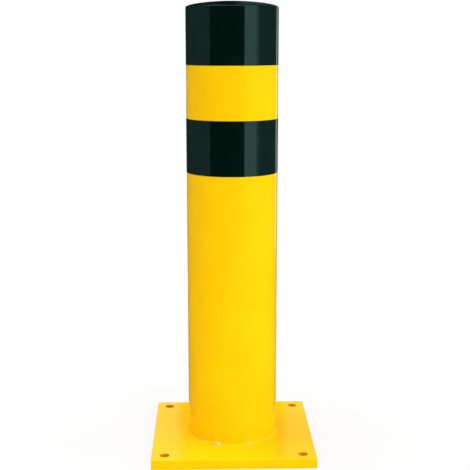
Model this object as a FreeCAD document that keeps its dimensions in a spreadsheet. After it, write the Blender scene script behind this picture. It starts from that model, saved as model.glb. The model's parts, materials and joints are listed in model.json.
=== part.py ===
import FreeCAD, Part
import Sketcher
import math
import os

# Impact protection bollard: a steel tube welded upright on a square base plate that is bolted down,
# closed by a moulded end cap and wrapped with two black film bands. Millimetres, +Z up, origin on
# the floor under the post's axis, front towards -Y.

# Driving dimensions
SIZES = {
    "plate_side": 250,
    "plate_thickness": 15,
    "plate_corner_radius": 2,
    "plate_edge_radius": 1.2,
    "hole_diameter": 14,
    "hole_inset": 20,
    "hole_chamfer": 0.6,
    "tube_diameter": 139.7,
    "tube_wall": 4,
    "tube_length": 665,
    "weld_leg": 5,
    "cap_rim_height": 2,
    "cap_rim_chamfer": 0.8,
    "cap_dome_rise": 8,
    "cap_wall": 3,
    "cap_skirt_depth": 24,
    "cap_skirt_clearance": 1.8,
    "cap_fin_clearance": 0.05,
    "cap_fin_root": 1.6,
    "cap_fin_count": 2,
    "film_thickness": 0.3,
    "film_seam": 1,
    "upper_band_height": 84,
    "band_spacing": 80,
    "lower_band_height": 82,
}

# Places and sizes that follow from them, as expressions
PLATE_REACH = "(sizes.plate_side / 2)"
HOLE_REACH = f"({PLATE_REACH} - sizes.hole_inset)"
PLATE_TOP = "sizes.plate_thickness"
TUBE_RADIUS = "(sizes.tube_diameter / 2)"
BORE_RADIUS = f"({TUBE_RADIUS} - sizes.tube_wall)"
TUBE_TOP = f"({PLATE_TOP} + sizes.tube_length)"
CAP_SHOULDER = f"({TUBE_TOP} + sizes.cap_rim_height)"
CAP_CREST = f"({CAP_SHOULDER} + sizes.cap_dome_rise)"
CAP_FOOT = f"({TUBE_TOP} - sizes.cap_skirt_depth)"
DOME_RADIUS = f"(({TUBE_RADIUS} ^ 2 + sizes.cap_dome_rise ^ 2) / (2 * sizes.cap_dome_rise))"
SKIRT_RADIUS = f"({BORE_RADIUS} - sizes.cap_skirt_clearance)"
SKIRT_BORE = f"({SKIRT_RADIUS} - sizes.cap_wall)"
HOLLOW_RADIUS = f"({DOME_RADIUS} - sizes.cap_wall)"
HOLLOW_CREST = f"({CAP_CREST} - sizes.cap_wall)"
HOLLOW_EDGE = f"({CAP_CREST} - {DOME_RADIUS} + sqrt({HOLLOW_RADIUS} ^ 2 - {SKIRT_BORE} ^ 2))"
FIN_REACH = f"({BORE_RADIUS} - sizes.cap_fin_clearance)"
FIN_PITCH = "((sizes.cap_skirt_depth - sizes.cap_fin_root) / sizes.cap_fin_count)"
UPPER_BAND_FOOT = f"({TUBE_TOP} - sizes.upper_band_height)"
LOWER_BAND_TOP = f"({UPPER_BAND_FOOT} - sizes.band_spacing)"
LOWER_BAND_FOOT = f"({LOWER_BAND_TOP} - sizes.lower_band_height)"
FILM_RADIUS = f"({TUBE_RADIUS} + sizes.film_thickness)"
FILM_WRAP = "360 - 360 * sizes.film_seam / (pi * sizes.tube_diameter)"
ON_AXIS = "0"

# Sketch references: a curve's start, end and centre, the two axes, and the origin point
START, END, CENTRE = range(1, 4)
UPRIGHT_AXIS, LEVEL_AXIS = range(-2, 0)
ORIGIN = (LEVEL_AXIS, START)

doc = FreeCAD.newDocument("impact_protection_bollard")


def make_sheet():
    """Write the driving dimensions into the document's spreadsheet, one aliased cell each."""
    sheet = doc.addObject("Spreadsheet::Sheet", "sizes")
    for row, (alias, value) in enumerate(SIZES.items(), start=1):
        sheet.set(f"A{row}", alias)
        sheet.set(f"B{row}", str(value))
        sheet.setAlias(f"B{row}", alias)
    doc.recompute()


def new_body(label):
    """Start a sub-part as a body of its own."""
    body = doc.addObject("PartDesign::Body", label)
    body.Label = label
    return body


def new_sketch(body, name, plane, height=None):
    """Attach a sketch to one of the body's origin planes, raised by an expression."""
    sketch = body.newObject("Sketcher::SketchObject", name)
    support = next(item for item in body.Origin.OriginFeatures if item.Role == plane)
    sketch.AttachmentSupport = [(support, "")]
    sketch.MapMode = "FlatFace"
    if height:
        sketch.setExpression("AttachmentOffset.Base.z", height)
    return sketch


def bind(sketch, kind, *terms):
    """Add a constraint whose value follows the expression given last."""
    *references, expression = terms
    value = sketch.evalExpression(expression)
    index = sketch.addConstraint(Sketcher.Constraint(kind, *references, value))
    sketch.setExpression(f"Constraints[{index}]", expression)


def pin(sketch, curve, point, across, along):
    """Pin a curve's point at the place that two expressions give."""
    for kind, axis, place in (("DistanceX", UPRIGHT_AXIS, across), ("DistanceY", LEVEL_AXIS, along)):
        if place == ON_AXIS:
            sketch.addConstraint(Sketcher.Constraint("PointOnObject", curve, point, axis))
        else:
            bind(sketch, kind, *ORIGIN, curve, point, place)


def bulging_arc(start, end, radius):
    """Give the arc from start to end that bulges to the right of the way between them."""
    chord = end - start
    rise = radius - math.sqrt(radius**2 - (chord.Length / 2) ** 2)
    right = FreeCAD.Vector(chord.y, -chord.x, 0).normalize()
    return Part.Arc(start, (start + end) / 2 + right * rise, end)


def draw_outline(sketch, corners):
    """Draw a closed outline counter-clockwise through pinned corners.

    Each corner gives its place as two expressions. A third one is the radius of the side that leads
    on from the corner, where that side bulges outwards as an arc.
    """
    places = [FreeCAD.Vector(*map(sketch.evalExpression, corner[:2])) for corner in corners]
    following = [*range(1, len(corners)), 0]
    for side, (_, _, *radius) in enumerate(corners):
        ends = (places[side], places[following[side]])
        if radius:
            sketch.addGeometry(bulging_arc(*ends, sketch.evalExpression(*radius)))
        else:
            sketch.addGeometry(Part.LineSegment(*ends))
    for side, (across, along, *radius) in enumerate(corners):
        sketch.addConstraint(Sketcher.Constraint("Coincident", side, END, following[side], START))
        pin(sketch, side, START, across, along)
        if radius:
            bind(sketch, "Radius", side, *radius)


def draw_circle(sketch, across, along, radius):
    """Draw a circle about a pinned centre."""
    centre = FreeCAD.Vector(sketch.evalExpression(across), sketch.evalExpression(along), 0)
    normal = FreeCAD.Vector(0, 0, 1)
    circle = sketch.addGeometry(Part.Circle(centre, normal, sketch.evalExpression(radius)))
    pin(sketch, circle, CENTRE, across, along)
    bind(sketch, "Radius", circle, radius)


def turn(body, kind, name, corners):
    """Turn an outline about the upright axis, as added or removed material."""
    sketch = new_sketch(body, f"{name}_outline", "XZ_Plane")
    draw_outline(sketch, corners)
    feature = body.newObject(f"PartDesign::{kind}", name)
    feature.Profile = sketch
    feature.ReferenceAxis = (sketch, ["V_Axis"])
    doc.recompute()
    return feature


def dress(body, kind, name, base, size, edges):
    """Round or chamfer the edges of a feature that a test picks, by a bound size."""
    picked = [f"Edge{number}" for number, edge in enumerate(base.Shape.Edges, start=1) if edges(edge)]
    feature = body.newObject(f"PartDesign::{kind}", name)
    feature.Base = (base, picked)
    feature.setExpression("Radius" if kind == "Fillet" else "Size", size)
    doc.recompute()
    return feature


def is_upright(edge):
    """Say whether an edge runs along Z."""
    return edge.BoundBox.ZLength > edge.Length / 2


def is_circle(edge):
    """Say whether an edge is a whole circle, which the point at a dome's crest isn't."""
    return not edge.Degenerated and isinstance(edge.Curve, Part.Circle) and edge.isClosed()


def make_base_plate():
    """Square plate with rounded corners and upper edges, and an anchor hole in each corner."""
    body = new_body("base_plate")
    outline = new_sketch(body, "plate_outline", "XY_Plane")
    corner_signs = (("-", "-"), ("", "-"), ("", ""), ("-", ""))
    draw_outline(outline, [(f"{x}{PLATE_REACH}", f"{y}{PLATE_REACH}") for x, y in corner_signs])
    slab = body.newObject("PartDesign::Pad", "plate_slab")
    slab.Profile = outline
    slab.setExpression("Length", PLATE_TOP)
    doc.recompute()
    middle = slab.Shape.BoundBox.Center.z
    corners = dress(body, "Fillet", "plate_corners", slab, "sizes.plate_corner_radius", is_upright)

    def is_upper(edge):
        return edge.BoundBox.ZMin > middle

    rounded = dress(body, "Fillet", "plate_edges", corners, "sizes.plate_edge_radius", is_upper)
    pattern = new_sketch(body, "hole_pattern", "XY_Plane")
    for x, y in corner_signs:
        draw_circle(pattern, f"{x}{HOLE_REACH}", f"{y}{HOLE_REACH}", "sizes.hole_diameter / 2")
    holes = body.newObject("PartDesign::Pocket", "anchor_holes")
    holes.Profile = pattern
    holes.Type = "ThroughAll"
    holes.Reversed = True
    doc.recompute()
    if holes.Shape.Volume >= rounded.Shape.Volume:
        raise RuntimeError("the anchor holes cut nothing")

    def is_upper_mouth(edge):
        return is_circle(edge) and is_upper(edge)

    dress(body, "Chamfer", "hole_mouths", holes, "sizes.hole_chamfer", is_upper_mouth)
    return body


def make_post_tube():
    """Round tube that stands on the plate."""
    body = new_body("post_tube")
    section = new_sketch(body, "tube_section", "XY_Plane", PLATE_TOP)
    for radius in (TUBE_RADIUS, BORE_RADIUS):
        draw_circle(section, ON_AXIS, ON_AXIS, radius)
    wall = body.newObject("PartDesign::Pad", "tube_wall_length")
    wall.Profile = section
    wall.setExpression("Length", "sizes.tube_length")
    doc.recompute()
    return body


def make_base_weld():
    """Fillet weld with a flat face, all round the foot of the tube."""
    body = new_body("base_weld")
    corners = [
        (TUBE_RADIUS, PLATE_TOP),
        (f"{TUBE_RADIUS} + sizes.weld_leg", PLATE_TOP),
        (TUBE_RADIUS, f"{PLATE_TOP} + sizes.weld_leg"),
    ]
    turn(body, "Revolution", "weld_bead", corners)
    return body


def make_end_cap():
    """Moulded cap: a shallow dome with a rim on the tube's end and a finned skirt in its bore."""
    body = new_body("end_cap")
    outside = [
        (ON_AXIS, CAP_FOOT),
        (SKIRT_RADIUS, CAP_FOOT),
        (SKIRT_RADIUS, TUBE_TOP),
        (TUBE_RADIUS, TUBE_TOP),
        (TUBE_RADIUS, CAP_SHOULDER, DOME_RADIUS),
        (ON_AXIS, CAP_CREST),
    ]
    dome = turn(body, "Revolution", "cap_dome", outside)
    inside = [
        (ON_AXIS, CAP_FOOT),
        (SKIRT_BORE, CAP_FOOT),
        (SKIRT_BORE, HOLLOW_EDGE),
        (ON_AXIS, HOLLOW_CREST),
    ]
    hollow = turn(body, "Groove", "cap_hollow", inside)
    if hollow.Shape.Volume >= dome.Shape.Volume:
        raise RuntimeError("the cap's hollow cuts nothing")
    shoulder = body.evalExpression(CAP_SHOULDER)

    def is_shoulder(edge):
        return is_circle(edge) and math.isclose(edge.Curve.Center.z, shoulder)

    dress(body, "Chamfer", "cap_rim", hollow, "sizes.cap_rim_chamfer", is_shoulder)
    fin_section = [
        (f"{SKIRT_RADIUS} - sizes.cap_wall / 2", CAP_FOOT),
        (SKIRT_RADIUS, CAP_FOOT),
        (FIN_REACH, f"{CAP_FOOT} + sizes.cap_fin_root"),
        (f"{SKIRT_RADIUS} - sizes.cap_wall / 2", f"{CAP_FOOT} + sizes.cap_fin_root"),
    ]
    fin = turn(body, "Revolution", "cap_fin", fin_section)
    fins = body.newObject("PartDesign::LinearPattern", "cap_fins")
    fins.Originals = [fin]
    fins.Direction = (fin.Profile[0], ["V_Axis"])
    fins.setExpression("Length", f"{FIN_PITCH} * (sizes.cap_fin_count - 1)")
    fins.setExpression("Occurrences", "sizes.cap_fin_count")
    body.Tip = fins
    doc.recompute()
    return body


def make_band(label, foot, top):
    """Film wrapped round the tube, with its butt seam at the back."""
    body = new_body(label)
    corners = [(TUBE_RADIUS, foot), (FILM_RADIUS, foot), (FILM_RADIUS, top), (TUBE_RADIUS, top)]
    wrap = turn(body, "Revolution", f"{label}_wrap", corners)
    wrap.setExpression("Angle", FILM_WRAP)
    wrap.Midplane = True
    back_to_y = FreeCAD.Rotation(FreeCAD.Vector(0, 0, 1), -90)
    body.Placement = FreeCAD.Placement(FreeCAD.Vector(), back_to_y)
    doc.recompute()
    return body


def check_document(bodies):
    """Stop unless every object is in order and every sub-part is one valid solid."""
    for item in doc.Objects:
        if "Invalid" in item.State or "Error" in item.State:
            raise RuntimeError(f"{item.Label} failed to build: {item.State}")
    for body in bodies:
        if body.Shape.isNull() or not body.Shape.isValid() or len(body.Shape.Solids) != 1:
            raise RuntimeError(f"{body.Label} is not one valid solid")


def write_parts(bodies):
    """Write each sub-part to a file named after it."""
    os.makedirs("parts", exist_ok=True)
    for body in bodies:
        body.Shape.exportStep(f"parts/{body.Label}.step")
        print(body.Label, round(body.Shape.Volume), "mm3")


make_sheet()
sub_parts = [
    make_base_plate(),
    make_post_tube(),
    make_base_weld(),
    make_end_cap(),
    make_band("upper_band", UPPER_BAND_FOOT, TUBE_TOP),
    make_band("lower_band", LOWER_BAND_FOOT, LOWER_BAND_TOP),
]
check_document(sub_parts)
write_parts(sub_parts)
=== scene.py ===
import json
import math

import bpy
import numpy as np
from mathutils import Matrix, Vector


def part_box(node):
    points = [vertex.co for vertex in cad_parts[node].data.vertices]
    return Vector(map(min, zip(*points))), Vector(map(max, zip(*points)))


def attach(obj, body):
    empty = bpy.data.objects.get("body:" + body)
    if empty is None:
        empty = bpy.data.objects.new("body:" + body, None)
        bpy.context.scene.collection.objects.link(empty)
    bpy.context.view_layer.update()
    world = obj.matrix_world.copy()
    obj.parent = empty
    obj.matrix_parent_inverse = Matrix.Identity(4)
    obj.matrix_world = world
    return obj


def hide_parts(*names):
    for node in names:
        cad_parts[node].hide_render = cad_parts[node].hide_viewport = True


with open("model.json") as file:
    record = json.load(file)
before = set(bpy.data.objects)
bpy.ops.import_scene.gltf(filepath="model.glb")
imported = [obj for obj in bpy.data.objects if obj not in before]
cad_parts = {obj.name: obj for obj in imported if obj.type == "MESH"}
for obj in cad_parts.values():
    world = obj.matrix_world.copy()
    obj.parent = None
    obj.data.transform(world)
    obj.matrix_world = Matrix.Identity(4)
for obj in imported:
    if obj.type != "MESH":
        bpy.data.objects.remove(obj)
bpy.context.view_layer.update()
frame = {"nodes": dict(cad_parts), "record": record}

# Impact protection bollard on a white studio floor. Metres, +Z up, front towards -Y, angles in degrees.

# Measures read from the frame
PLATE_REACH, _, PLATE_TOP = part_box("base_plate")[1]
TUBE_RADIUS = max(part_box("post_tube")[1].xy)
TUBE_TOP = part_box("post_tube")[1].z
WELD_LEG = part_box("base_weld")[1].z - PLATE_TOP
CAP_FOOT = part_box("end_cap")[0].z
CAP_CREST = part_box("end_cap")[1].z
FILM_RADIUS = max(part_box("upper_band")[1].xy)
MILLIMETRE = 0.001
MOUNT_SIZES = {mount["name"]: mount["dims"] for mount in frame["record"]["mounts"]}
ANCHOR_HOLES = MOUNT_SIZES["anchor_holes"]
HOLE_REACH = ANCHOR_HOLES["spacing_x_mm"] / 2 * MILLIMETRE
HOLE_RADIUS = ANCHOR_HOLES["hole_r_mm"] * MILLIMETRE

# End cap, whose skirt hangs in the tube with fins that end just short of the bore
TUBE_WALL = 0.004
CAP_WALL = 0.003
CAP_RIM_HEIGHT = 0.002
CAP_RIM_RADIUS = 0.0014
CAP_RIM_STEPS = 10
CAP_DOME_FULLNESS = 0.66
CAP_DOME_STEPS = 48
CAP_DOME_STEPS_UNDER_RIM = 4
CAP_SKIRT_GAP = 0.0018
CAP_SKIRT_RADIUS = TUBE_RADIUS - TUBE_WALL - CAP_SKIRT_GAP
CAP_FIN_GAP = 0.00005
CAP_FIN_REACH = CAP_SKIRT_GAP - CAP_FIN_GAP
CAP_FIN_ROOT = 0.0016
CAP_FIN_COUNT = 2
CAP_STEPS_AROUND = 256

# Weld bead, with lumps where its runs start and stop, at angles from the front towards +X
WELD_RIPPLE_COUNT = 170
WELD_RIPPLE_HEIGHT = 0.00014
WELD_RIPPLE_FULLNESS = 0.8
WELD_RIPPLE_BOW = 0.7
WELD_RIPPLE_DRIFT = 0.3
WELD_HOLLOW = 0.85
WELD_WANDER = 0.05
WELD_WANDER_WAVES = (
    {"count": 2, "lag": 0.4},
    {"count": 5, "lag": 1.9},
    {"count": 11, "lag": 3.1},
    {"count": 23, "lag": 5.2},
)
WELD_THIN_RUN = {"angle": -55.0, "width": 0.03, "share": 0.55}
WELD_LUMPS = (
    {"angle": -24.5, "width": 0.0088, "height": 0.0022, "shine": 1},
    {"angle": -14.0, "width": 0.0016, "height": -0.0006, "shine": 0},
    {"angle": -39.0, "width": 0.0048, "height": 0.0012, "shine": 0.6},
    {"angle": 22.0, "width": 0.0062, "height": 0.0014, "shine": 0.18},
    {"angle": 33.0, "width": 0.0048, "height": 0.0013, "shine": 0.18},
    {"angle": 158.0, "width": 0.0050, "height": 0.0013, "shine": 0.8},
    {"angle": 165.0, "width": 0.0018, "height": -0.0006, "shine": 0},
)
WELD_BEDDING = 0.0003
WELD_STEPS_AROUND = 2040
WELD_STEPS_ACROSS = 16

# Film, whose loose end laps over the seam at the back, between two angles from the front towards +X
FILM_LAP = (178.0, 187.5)
FILM_LAP_THICKNESS = 0.00015
FILM_LAP_BEDDING = 0.0001
FILM_LAP_STEPS = 20

# Sharpest bends that stay smooth in the shading
CREASE = 40
WELD_CREASE = 60

# Yellow powder coat, with scales in patches to the metre and heights as shares of its relief
YELLOW = (0.985, 0.575, 0.003, 1)
DEEP_YELLOW = (0.965, 0.545, 0.0025, 1)
# Painted shade: a darker orange put on the walls of the anchor holes
HOLE_SHADE_YELLOW = (0.7, 0.335, 0.001, 1)
YELLOW_GLOSS = (1, 0.72, 0.05, 1)
COAT_GLOSS = 0.25
COAT_MOTTLE = {"scale": 16, "detail": 4}
COAT_MOTTLE_RANGE = (0.3, 0.7)
COAT_PEEL = {"scale": 380, "detail": 1.5}
COAT_PEEL_HEIGHT = 0.8
COAT_NIBS = {"scale": 34, "core": 0.006, "edge": 0.022}
COAT_NIB_HEIGHT = 2
COAT_RELIEF = 0.00004
COAT_ROUGHNESS = 0.07
COAT_HAZE = {"scale": 55, "detail": 3}
COAT_HAZE_ROUGHNESS = 0.06
# Band over which the painted shade on the hole walls fades out
HOLE_SHADE_FADE = (HOLE_RADIUS + 0.0001, HOLE_RADIUS + 0.0006)
GLINT_ROUGHNESS = 0.06
GLINT_IOR = 2

# Black film
GREEN_BLACK = (0.0006, 0.0064, 0.0042, 1)
SOFT_BLACK = (0.0012, 0.0082, 0.0058, 1)
GREEN_GLOSS = (0.92, 1, 0.98, 1)
FILM_WAVE = {"scale": 70, "detail": 1}
FILM_SPECKS = {"scale": 60, "core": 0.005, "edge": 0.03}
FILM_SPECK_HEIGHT = 0.3
FILM_SPECK_ROUGHNESS = 0.2
FILM_RELIEF = 0.00005
FILM_ROUGHNESS = 0.07
FILM_HAZE = {"scale": 24, "detail": 5, "roughness": 0.6}
FILM_HAZE_PALE_RANGE = (0.35, 0.75)
FILM_HAZE_DULL_RANGE = (0.4, 0.8)
FILM_HAZE_ROUGHNESS = 0.07

# Black moulded plastic
PLASTIC_GRAIN = {"scale": 1500, "detail": 2}
PLASTIC_GRAIN_HEIGHT = 0.4
PLASTIC_FLOW = {"scale": 40, "detail": 3}
PLASTIC_FLOW_HEIGHT = 0.6
PLASTIC_FLOW_ROUGHNESS = 0.08
PLASTIC_RELIEF = 0.000015
PLASTIC_ROUGHNESS = 0.1

# Upright cards for the gloss, whose stops give an angle from the front towards +X and the glow there
CARD_REACH = 1.6
CARD_STEP = 3
CARD_TINT = (0.55, 1, 0.97, 1)
RING_TOP = 0.9
UPPER_RING_TOP = 2.2
LOW_BACK_TOP = 0.82
CEILING = 6
UPRIGHT_CARDS = {
    "reflector_ring": {
        "heights": (0, RING_TOP),
        "stops": (
            (-166, 0.02), (-138, 0.06), (-114, 0.15), (-90, 0.24), (-57, 0.3), (-55.5, 0.004),
            (28, 0.004), (29, 1.25), (56, 1.2), (64, 0.5), (70, 0.23),
            (98, 0.16), (116, 0.1), (138, 0.07),
        ),
    },
    "dark_back_card": {
        "heights": (0, RING_TOP),
        "stops": ((147.5, 0.02), (194, 0.02)),
    },
    "upper_ring": {
        "heights": (RING_TOP, UPPER_RING_TOP),
        "stops": ((-166, 0.05), (-90, 0.2), (-57, 0.15), (-30, 0.06), (90, 0.06), (166, 0.05)),
    },
    "low_back_card": {
        "inset": 0.04,
        "heights": (0.45, LOW_BACK_TOP),
        "stops": ((160, 0.38), (172.3, 0.4), (172.7, 0.01), (184.6, 0.01), (185, 0.58), (196, 0.58)),
    },
    "high_back_card": {
        "inset": 0.02,
        "heights": (LOW_BACK_TOP, CEILING),
        "stops": ((138, 0.1), (176, 0.1), (177.5, 0.004), (181, 0.004), (183, 0.02), (222, 0.02)),
    },
    "high_front_card": {
        "heights": (UPPER_RING_TOP, CEILING),
        "stops": ((-138, 0.2), (-108, 0.3), (-96, 3.2), (84, 3.2), (96, 0.3), (138, 0.2)),
    },
}

# Level cards for the gloss, each a ring about the post's axis
LEVEL_CARD_HOLE = 0.05
LEVEL_CARD_STEPS = 120
LEVEL_CARDS = {
    "floor_card": {"height": 0.0005, "glow": 0.06},
    "ceiling_card": {"height": CEILING, "glow": 0.35},
}

# Lamps, each at an angle from the front towards +X and a rise above level, and soft light all round
LAMP_REACH = 2.2
LAMP_AIM = 0.3
LAMPS = {
    "front_right_lamp": {"angle": 34, "rise": 32, "side": 1.3, "watts": 20.4},
    "right_lamp": {"angle": 95, "rise": 25, "side": 1.2, "watts": 14.9},
    "high_left_lamp": {"angle": -95, "rise": 70, "side": 1.2, "watts": 24.8},
    "back_lamp": {"angle": -150, "rise": 18, "side": 1.2, "watts": 12},
    "low_front_lamp": {"angle": 0, "rise": 14, "side": 0.3, "watts": 0.36, "reach": 0.55, "aim": 0.03},
}
WHITE = (1, 1, 1, 1)
AMBIENT_LEVEL = 0.637

# Floor, which turns white past the plate's edge and more so further away
FLOOR_REACH = 12
FLOOR_COLOUR = (0.68, 0.68, 0.68, 1)
FLOOR_WHITE = 0.8
FLOOR_EDGE = (PLATE_REACH, PLATE_REACH + 0.0005)
FLOOR_FADE = (0.17, 0.4)

# Camera, matched to the photograph
CAMERA_PLACE = (-0.038, -1.54373, 0.62791)
CAMERA_PITCH = 10.775
CAMERA_HEADING = 1.574
CAMERA_LENS = 77.177
CAMERA_SENSOR = 36


class Value:
    """A socket's value. Arithmetic on it adds Math nodes beside the node that it comes from."""

    def __init__(self, nodes, socket):
        self.nodes = nodes
        self.socket = socket

    def maths(self, operation, *terms):
        """Add a Math node for an operation on some terms."""
        return self.nodes.add("ShaderNodeMath", {"operation": operation}, dict(enumerate(terms)))

    def __add__(self, other):
        return self.maths("ADD", self, other)

    def __radd__(self, other):
        return self.maths("ADD", other, self)

    def __sub__(self, other):
        return self.maths("SUBTRACT", self, other)

    def __rsub__(self, other):
        return self.maths("SUBTRACT", other, self)

    def __mul__(self, other):
        return self.maths("MULTIPLY", self, other)

    def __rmul__(self, other):
        return self.maths("MULTIPLY", other, self)

    def or_larger(self, other):
        """This value or the other, whichever is larger."""
        return self.maths("MAXIMUM", self, other)


class Nodes:
    """The shader nodes of a material or of the world."""

    def __init__(self, owner):
        owner.use_nodes = True
        self.tree = owner.node_tree
        self.tree.nodes.clear()

    @staticmethod
    def find(sockets, key):
        """Give the socket of a number, or of a name that the node's settings have in use."""
        if isinstance(key, int):
            return sockets[key]
        return next(socket for socket in sockets if socket.name == key and socket.enabled)

    def add(self, kind, settings=None, sockets=None, output=0):
        """Add a node, with its settings and then its sockets' values or links, and give one output."""
        node = self.tree.nodes.new(kind)
        for name, setting in (settings or {}).items():
            setattr(node, name, setting)
        for key, value in (sockets or {}).items():
            socket = self.find(node.inputs, key)
            if isinstance(value, Value):
                self.tree.links.new(value.socket, socket)
            else:
                socket.default_value = value
        return Value(self, self.find(node.outputs, output)) if node.outputs else None

    def blend(self, share, first, second):
        """Mix two colours."""
        sockets = {"Factor": share, "A": first, "B": second}
        return self.add("ShaderNodeMix", {"data_type": "RGBA"}, sockets, "Result")

    def ease(self, value, start, end):
        """Rise smoothly from 0 at start to 1 at end."""
        sockets = {"Value": value, "From Min": start, "From Max": end}
        return self.add("ShaderNodeMapRange", {"interpolation_type": "SMOOTHSTEP"}, sockets)

    def noise(self, place, scale, detail, roughness=0.5):
        """Cloudy noise, with scale in patches to the metre."""
        sockets = {"Vector": place, "Scale": scale, "Detail": detail, "Roughness": roughness}
        return self.add("ShaderNodeTexNoise", None, sockets)

    def specks(self, place, scale, core, edge):
        """Scattered specks: 1 in the core and 0 past the edge, with scale in specks to the metre."""
        away = self.add("ShaderNodeTexVoronoi", None, {"Vector": place, "Scale": scale}, "Distance")
        return 1 - self.ease(away, core, edge)

    def seen_rays(self):
        """Give 1 for the rays that show the background: the camera's, and those in gloss and glass."""
        kinds = ("Is Camera Ray", "Is Glossy Ray", "Is Transmission Ray")
        camera, glossy, glass = (self.add("ShaderNodeLightPath", output=kind) for kind in kinds)
        return camera + glossy + glass


def new_finish(name):
    """Start a material and give its nodes, with the place on the piece as a vector."""
    material = bpy.data.materials.new(name)
    nodes = Nodes(material)
    return material, nodes, nodes.add("ShaderNodeTexCoord", output="Object")


def coat_surface(nodes, height, depth, **sockets):
    """Close a finish with a surface whose relief is a height in shares of a depth in metres."""
    relief = nodes.add("ShaderNodeBump", None, {"Height": height, "Distance": depth, "Strength": 1.0})
    named = {name.replace("_", " "): value for name, value in sockets.items()}
    surface = nodes.add("ShaderNodeBsdfPrincipled", None, {"Normal": relief, **named})
    nodes.add("ShaderNodeOutputMaterial", None, {"Surface": surface})


def painted_hole_shade(nodes, place):
    """Give 1 on the walls of the anchor holes, where painted shade darkens the coat."""
    folded = nodes.add("ShaderNodeVectorMath", {"operation": "ABSOLUTE"}, {0: place})
    level = nodes.add("ShaderNodeVectorMath", {"operation": "MULTIPLY"}, {0: folded, 1: (1, 1, 0)})
    centre = (HOLE_REACH, HOLE_REACH, 0)
    away = nodes.add("ShaderNodeVectorMath", {"operation": "DISTANCE"}, {0: level, 1: centre}, "Value")
    return 1 - nodes.ease(away, *HOLE_SHADE_FADE)


def make_yellow_coat(name, glints=False):
    """Powder coat: mottled, with orange peel and a few dust nibs in its gloss, and painted shade
    darkening the hole walls.

    Glints lie where the piece's own shine says so."""
    material, nodes, place = new_finish(name)
    mottle = nodes.noise(place, **COAT_MOTTLE)
    peel = nodes.noise(place, **COAT_PEEL)
    haze = nodes.noise(place, **COAT_HAZE)
    nib = nodes.specks(place, **COAT_NIBS)
    colour = nodes.blend(nodes.ease(mottle, *COAT_MOTTLE_RANGE), DEEP_YELLOW, YELLOW)
    gleam = {}
    if glints:
        shine = nodes.add("ShaderNodeAttribute", {"attribute_name": "shine"}, output="Fac")
        gleam = {"Coat_Weight": shine, "Coat_Roughness": GLINT_ROUGHNESS, "Coat_IOR": GLINT_IOR}
    coat_surface(
        nodes,
        height=peel * COAT_PEEL_HEIGHT + nib * COAT_NIB_HEIGHT,
        depth=COAT_RELIEF,
        # The walls of the anchor holes get painted shade in their colour
        Base_Color=nodes.blend(painted_hole_shade(nodes, place), colour, HOLE_SHADE_YELLOW),
        Roughness=COAT_ROUGHNESS + haze * COAT_HAZE_ROUGHNESS,
        Specular_IOR_Level=COAT_GLOSS,
        Specular_Tint=YELLOW_GLOSS,
        **gleam,
    )
    return material


def make_black_film():
    """Glossy adhesive film: slightly wavy where it follows the coat below, with faint handling haze."""
    material, nodes, place = new_finish("black_gloss_film")
    wave = nodes.noise(place, **FILM_WAVE)
    haze = nodes.noise(place, **FILM_HAZE)
    speck = nodes.specks(place, **FILM_SPECKS)
    dulled = FILM_ROUGHNESS + nodes.ease(haze, *FILM_HAZE_DULL_RANGE) * FILM_HAZE_ROUGHNESS
    coat_surface(
        nodes,
        height=wave + speck * FILM_SPECK_HEIGHT,
        depth=FILM_RELIEF,
        Base_Color=nodes.blend(nodes.ease(haze, *FILM_HAZE_PALE_RANGE), GREEN_BLACK, SOFT_BLACK),
        Roughness=dulled + speck * FILM_SPECK_ROUGHNESS,
        Specular_Tint=GREEN_GLOSS,
    )
    return material


def make_black_plastic():
    """Moulded plastic: a fine even grain and a little unevenness from the mould."""
    material, nodes, place = new_finish("black_moulded_plastic")
    grain = nodes.noise(place, **PLASTIC_GRAIN)
    flow = nodes.noise(place, **PLASTIC_FLOW)
    coat_surface(
        nodes,
        height=grain * PLASTIC_GRAIN_HEIGHT + flow * PLASTIC_FLOW_HEIGHT,
        depth=PLASTIC_RELIEF,
        Base_Color=nodes.blend(flow, GREEN_BLACK, SOFT_BLACK),
        Roughness=PLASTIC_ROUGHNESS + flow * PLASTIC_FLOW_ROUGHNESS,
        Specular_Tint=GREEN_GLOSS,
    )
    return material


def coat_nodes(material, *names):
    """Give CAD nodes their finish."""
    for name in names:
        mesh = frame["nodes"][name].data
        mesh.materials.clear()
        mesh.materials.append(material)


def add_object(name, data):
    """Put a new object into the scene."""
    thing = bpy.data.objects.new(name, data)
    bpy.context.scene.collection.objects.link(thing)
    return thing


def make_mesh(name, corners, faces):
    """Make an object from corner places and the corner numbers of its faces."""
    mesh = bpy.data.meshes.new(name)
    mesh.from_pydata([tuple(corner) for corner in corners], [], faces)
    mesh.validate()
    return add_object(name, mesh)


def place_piece(piece, material, node=None, crease=CREASE):
    """Finish a piece, smooth but for its creases, and say its body, slot and the node it replaces."""
    piece.data.shade_smooth()
    piece.data.set_sharp_from_angle(angle=math.radians(crease))
    piece.data.materials.append(material)
    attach(piece, "root")
    if node:
        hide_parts(node)


def around(radius, turn, height):
    """The place at a radius from the post's axis, a turn in radians from the front, and a height."""
    return radius * np.sin(turn), -radius * np.cos(turn), height


def full_turn(steps):
    """Turns in radians for equal steps right round the post."""
    return np.linspace(0, 2 * math.pi, steps, endpoint=False)


def grid_faces(rows, points, ring=False, loops=False):
    """Faces between neighbouring rows of points, where the rows may close a ring and each be a loop."""
    faces = []
    for row in range(rows if ring else rows - 1):
        here = row * points
        there = (row + 1) % rows * points
        for point in range(points if loops else points - 1):
            following = (point + 1) % points
            faces.append((here + point, there + point, there + following, here + following))
    return faces


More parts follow.
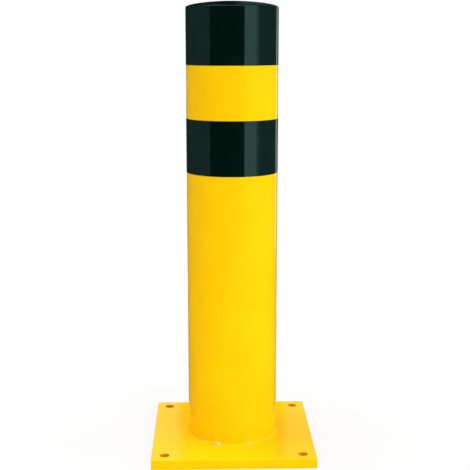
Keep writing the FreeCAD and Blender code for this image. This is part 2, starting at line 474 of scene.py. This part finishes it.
def turn_outline(name, outline, steps):
    """Turn an outline of radius and height, which starts and ends on the axis, about the axis."""
    (_, top), *sides, (_, bottom) = outline
    corners = [around(radius, turn, height) for radius, height in sides for turn in full_turn(steps)]
    corners += [(0, 0, top), (0, 0, bottom)]
    faces = grid_faces(len(sides), steps, loops=True)
    last = (len(sides) - 1) * steps
    for step in range(steps):
        following = (step + 1) % steps
        faces.append((len(corners) - 2, step, following))
        faces.append((last + following, last + step, len(corners) - 1))
    return make_mesh(name, corners, faces)


def cap_dome(shoulder):
    """Outline of the dome and of its rounded rim, from the crest outwards."""
    reach = TUBE_RADIUS - CAP_RIM_RADIUS
    shares = np.sin(np.linspace(0, math.pi / 2, CAP_DOME_STEPS))[:-CAP_DOME_STEPS_UNDER_RIM]
    swells = (CAP_CREST - shoulder) * (1 - shares**2) ** CAP_DOME_FULLNESS
    bends = np.linspace(math.pi / 2, 0, CAP_RIM_STEPS)
    drops = CAP_RIM_RADIUS * (1 - np.sin(bends))
    return [
        *zip(reach * shares, shoulder + swells),
        *zip(reach + CAP_RIM_RADIUS * np.cos(bends), shoulder - drops),
    ]


def cap_skirt():
    """Outline of the rim's seat on the tube's end and of the finned skirt below it."""
    pitch = (TUBE_TOP - CAP_FOOT - CAP_FIN_ROOT) / CAP_FIN_COUNT
    outline = [(TUBE_RADIUS, TUBE_TOP), (CAP_SKIRT_RADIUS, TUBE_TOP)]
    for fin in reversed(range(CAP_FIN_COUNT)):
        foot = CAP_FOOT + fin * pitch
        outline += [
            (CAP_SKIRT_RADIUS, foot + CAP_FIN_ROOT),
            (CAP_SKIRT_RADIUS + CAP_FIN_REACH, foot + CAP_FIN_ROOT),
            (CAP_SKIRT_RADIUS, foot),
        ]
    return outline


def make_domed_cap(material):
    """Cap with a shallow dome, a rounded rim on the tube's end, and a finned skirt inside the tube."""
    shoulder = TUBE_TOP + CAP_RIM_HEIGHT
    bore = CAP_SKIRT_RADIUS - CAP_WALL
    hollow_edge = shoulder + (CAP_CREST - shoulder) * (1 - (bore / TUBE_RADIUS) ** 2) - CAP_WALL
    hollow = [(bore, CAP_FOOT), (bore, hollow_edge), (0, CAP_CREST - CAP_WALL)]
    cap = turn_outline("domed_cap", [*cap_dome(shoulder), *cap_skirt(), *hollow], CAP_STEPS_AROUND)
    place_piece(cap, material, "end_cap")


def hump(turn, spot):
    """Rise to 1 at a spot's angle round the foot of the tube, and fall off over its width."""
    away = (turn - math.radians(spot["angle"]) + math.pi) % (2 * math.pi) - math.pi
    return np.exp(-((away * TUBE_RADIUS / spot["width"]) ** 2))


def weld_wander(turn):
    """How the weld's run wanders round the tube, from -1 to 1."""
    waves = [np.sin(wave["count"] * turn + wave["lag"]) for wave in WELD_WANDER_WAVES]
    return sum(waves) / len(waves)


def weld_relief(turn, belly):
    """Height of the ripples and lumps, which a belly from 0 to 1 takes off towards the weld's toes."""
    bow = WELD_RIPPLE_BOW * (1 - belly) + WELD_RIPPLE_DRIFT * weld_wander(turn)
    phase = WELD_RIPPLE_COUNT * turn / (2 * math.pi) + bow
    height = WELD_RIPPLE_HEIGHT * np.abs(np.sin(math.pi * phase)) ** WELD_RIPPLE_FULLNESS
    for lump in WELD_LUMPS:
        height = height + lump["height"] * hump(turn, lump)
    return belly * height


def make_weld_bead(material):
    """Hollow fillet weld with ripples, a wandering toe, and lumps where its runs start and stop."""
    turns = full_turn(WELD_STEPS_AROUND)
    turn, share = np.meshgrid(turns, np.linspace(0, 1, WELD_STEPS_ACROSS), indexing="ij")
    thinned = 1 - WELD_THIN_RUN["share"] * hump(turn, WELD_THIN_RUN)
    leg = WELD_LEG * (1 + WELD_WANDER * weld_wander(turn)) * thinned
    height = weld_relief(turn, belly=4 * share * (1 - share))
    outward, upward = np.sin(share * math.pi / 2), np.cos(share * math.pi / 2)
    across = WELD_HOLLOW * (1 - outward) + (1 - WELD_HOLLOW) * (1 - share)
    up = WELD_HOLLOW * (1 - upward) + (1 - WELD_HOLLOW) * share
    root = np.full((WELD_STEPS_AROUND, 1), -WELD_BEDDING)
    radius = TUBE_RADIUS + np.hstack([leg * across + height * outward, root])
    rise = PLATE_TOP + np.hstack([leg * up + height * upward, root])
    corners = np.stack(around(radius, turns[:, None], rise), axis=-1).reshape(-1, 3)
    points = WELD_STEPS_ACROSS + 1
    faces = grid_faces(WELD_STEPS_AROUND, points, ring=True, loops=True)
    bead = make_mesh("rippled_weld_bead", corners, faces)
    shine = bead.data.attributes.new("shine", "FLOAT", "POINT")
    shines = sum(lump["shine"] * hump(turns, lump) for lump in WELD_LUMPS)
    shine.data.foreach_set("value", np.repeat(shines, points))
    place_piece(bead, material, "base_weld", WELD_CREASE)


def make_film_lap(name, band, material):
    """Loose end of a band's film, which covers the seam."""
    low, high = (corner.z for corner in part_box(band))
    outer, inner = FILM_RADIUS + FILM_LAP_THICKNESS, FILM_RADIUS - FILM_LAP_BEDDING
    section = ((outer, low), (outer, high), (inner, high), (inner, low))
    turns = np.radians(np.linspace(*FILM_LAP, FILM_LAP_STEPS))
    corners = [around(radius, turn, height) for turn in turns for radius, height in section]
    numbers = tuple(range(len(corners)))
    faces = grid_faces(FILM_LAP_STEPS, len(section), loops=True)
    faces += [numbers[:len(section)], numbers[:-len(section) - 1:-1]]
    place_piece(make_mesh(name, corners, faces), material)


def show_in_gloss(card, levels):
    """Let a card glow by its corners' levels, for the gloss alone."""
    glow = card.data.attributes.new("glow", "FLOAT_COLOR", "POINT")
    glow.data.foreach_set("color", np.outer(levels, CARD_TINT).ravel())
    material = bpy.data.materials.new(card.name)
    nodes = Nodes(material)
    shade = nodes.add("ShaderNodeAttribute", {"attribute_name": "glow"}, output="Color")
    light = nodes.add("ShaderNodeEmission", None, {"Color": shade, "Strength": 1.0})
    nodes.add("ShaderNodeOutputMaterial", None, {"Surface": light})
    card.data.materials.append(material)
    card.visible_camera = False
    card.visible_diffuse = False
    card.visible_shadow = False


def make_upright_card(name, heights, stops, inset=0):
    """Curved upright card that glows as its stops say."""
    angles, levels = zip(*stops)
    between = (np.arange(first, last, CARD_STEP) for first, last in zip(angles, angles[1:]))
    places = np.concatenate([*between, angles[-1:]])
    reach = CARD_REACH - inset
    corners = [around(reach, turn, height) for turn in np.radians(places) for height in heights]
    card = make_mesh(name, corners, grid_faces(len(places), len(heights)))
    show_in_gloss(card, np.repeat(np.interp(places, angles, levels), len(heights)))


def make_level_card(name, height, glow):
    """Flat ring-shaped card that lies level about the post."""
    turns = full_turn(LEVEL_CARD_STEPS)
    reaches = (LEVEL_CARD_HOLE, CARD_REACH)
    corners = [around(reach, turn, height) for turn in turns for reach in reaches]
    card = make_mesh(name, corners, grid_faces(len(turns), len(reaches), ring=True))
    show_in_gloss(card, np.full(len(corners), glow))


def make_lamp(name, angle, rise, side, watts, reach=LAMP_REACH, aim=LAMP_AIM):
    """Square soft lamp aimed at a height on the post's axis."""
    light = bpy.data.lights.new(name, "AREA")
    light.size = side
    light.energy = watts
    lamp = add_object(name, light)
    turn, tilt = math.radians(angle), math.radians(rise)
    lamp.location = around(reach * math.cos(tilt), turn, aim + reach * math.sin(tilt))
    lamp.rotation_euler = (math.pi / 2 - tilt, 0, turn)
    lamp.visible_camera = False
    lamp.visible_glossy = False


def make_floor():
    """Pale floor that holds the object's shadow and fades into the white round it."""
    sides = (-FLOOR_REACH, FLOOR_REACH)
    corners = [(x, y, 0) for y in sides for x in sides]
    floor = make_mesh("pale_floor", corners, [(0, 1, 3, 2)])
    material, nodes, place = new_finish("pale_floor")
    away = nodes.add("ShaderNodeVectorMath", {"operation": "LENGTH"}, {0: place}, "Value")
    folded = nodes.add("ShaderNodeVectorMath", {"operation": "ABSOLUTE"}, {0: place})
    x, y = (nodes.add("ShaderNodeSeparateXYZ", None, {0: folded}, axis) for axis in "XY")
    beside = nodes.ease(x.or_larger(y), *FLOOR_EDGE)
    fade = beside * FLOOR_WHITE + nodes.ease(away, *FLOOR_FADE) * (1 - FLOOR_WHITE)
    matt = nodes.add("ShaderNodeBsdfDiffuse", None, {"Color": FLOOR_COLOUR})
    white = nodes.add("ShaderNodeEmission", None, {"Color": WHITE, "Strength": 1.0})
    surface = nodes.add("ShaderNodeMixShader", None, {0: fade * nodes.seen_rays(), 1: matt, 2: white})
    nodes.add("ShaderNodeOutputMaterial", None, {"Surface": surface})
    floor.data.materials.append(material)


def make_studio():
    """Even soft light, a white background, and cards that the gloss reflects."""
    world = bpy.data.worlds.new("white_studio")
    bpy.context.scene.world = world
    nodes = Nodes(world)
    soft = nodes.add("ShaderNodeBackground", None, {"Color": WHITE, "Strength": AMBIENT_LEVEL})
    white = nodes.add("ShaderNodeBackground", None, {"Color": WHITE, "Strength": 1.0})
    surface = nodes.add("ShaderNodeMixShader", None, {0: nodes.seen_rays(), 1: soft, 2: white})
    nodes.add("ShaderNodeOutputWorld", None, {"Surface": surface})
    make_floor()
    for name, card in UPRIGHT_CARDS.items():
        make_upright_card(name, **card)
    for name, card in LEVEL_CARDS.items():
        make_level_card(name, **card)
    for name, lamp in LAMPS.items():
        make_lamp(name, **lamp)


def make_camera():
    """Camera at the photograph's viewpoint."""
    optics = bpy.data.cameras.new("photo_camera")
    optics.sensor_width = CAMERA_SENSOR
    optics.lens = CAMERA_LENS
    camera = add_object("photo_camera", optics)
    camera.location = CAMERA_PLACE
    camera.rotation_euler = (math.radians(90 - CAMERA_PITCH), 0, -math.radians(CAMERA_HEADING))
    bpy.context.scene.camera = camera


coat_nodes(make_yellow_coat("yellow_powder_coat"), "base_plate", "post_tube")
make_weld_bead(make_yellow_coat("yellow_coat_on_weld", glints=True))
film = make_black_film()
coat_nodes(film, "upper_band", "lower_band")
make_film_lap("upper_film_lap", "upper_band", film)
make_film_lap("lower_film_lap", "lower_band", film)
make_domed_cap(make_black_plastic())
make_studio()
make_camera()
bpy.context.scene.view_settings.view_transform = "Standard"
